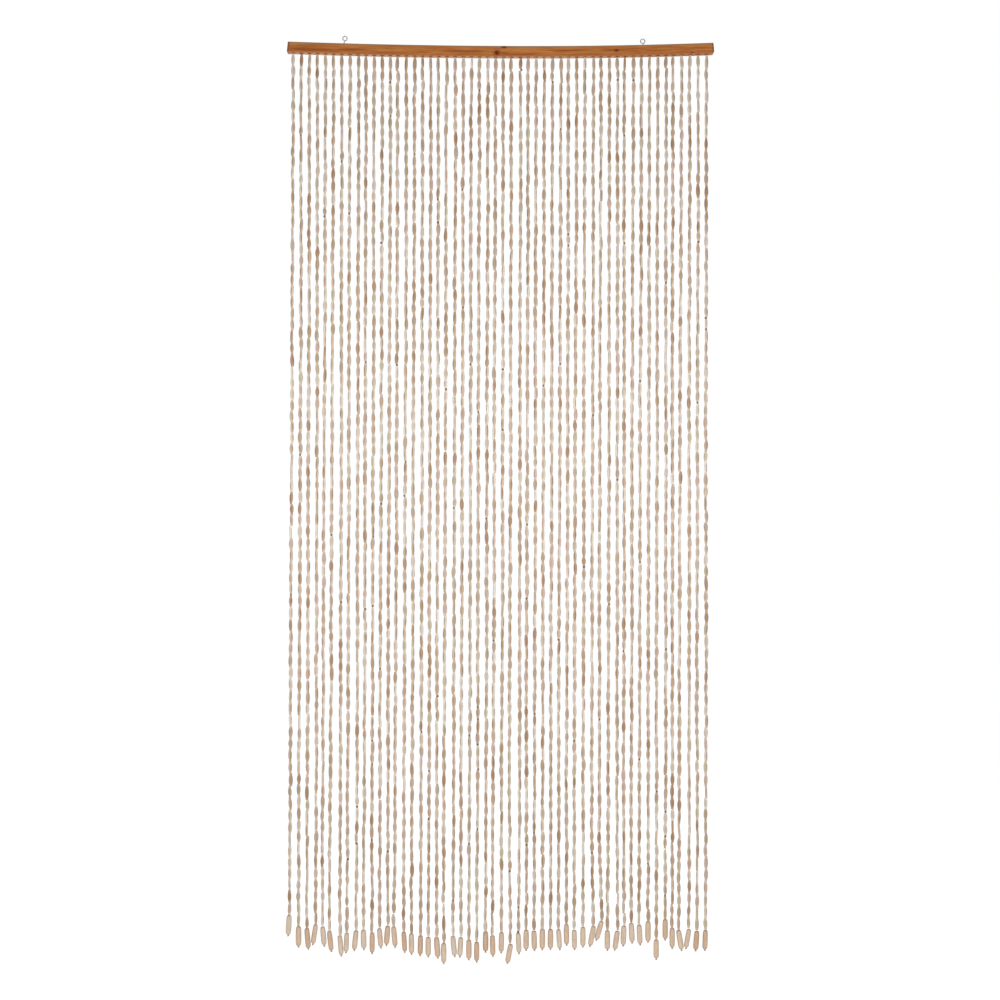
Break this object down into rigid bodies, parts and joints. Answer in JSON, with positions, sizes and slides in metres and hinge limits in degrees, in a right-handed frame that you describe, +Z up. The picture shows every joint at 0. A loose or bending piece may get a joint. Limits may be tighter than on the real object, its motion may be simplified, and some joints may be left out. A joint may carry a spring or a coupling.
{
  "type": "bead curtain",
  "caption": "Hanging doorway curtain: strings of small spindle-shaped wooden beads ending in long wooden pendants, under a stained wooden rail with screw eyes.",
  "frame": {"origin": "the middle of the rail's flat back face, halfway along the rail", "axes": "+X along the rail to the right as seen from the front, +Y towards the wall or door head behind the rail, +Z up; the bead strings hang towards -Z"},
  "size_m": [0.9219, 0.024, 2.0004],
  "materials": {
    "stained_pine": "satin, stained orange-brown, grain along the rail",
    "zinc_plated_steel": "dull zinc plating",
    "pale_bead_wood": "raw pale wood, matt, each bead a slightly different tone"
  },
  "bodies": {
    "root": {"rail": "stained_pine", "screw_eye_left": "zinc_plated_steel", "screw_eye_right": "zinc_plated_steel", "bead_strands": "pale_bead_wood"}
  },
  "joints": []
}
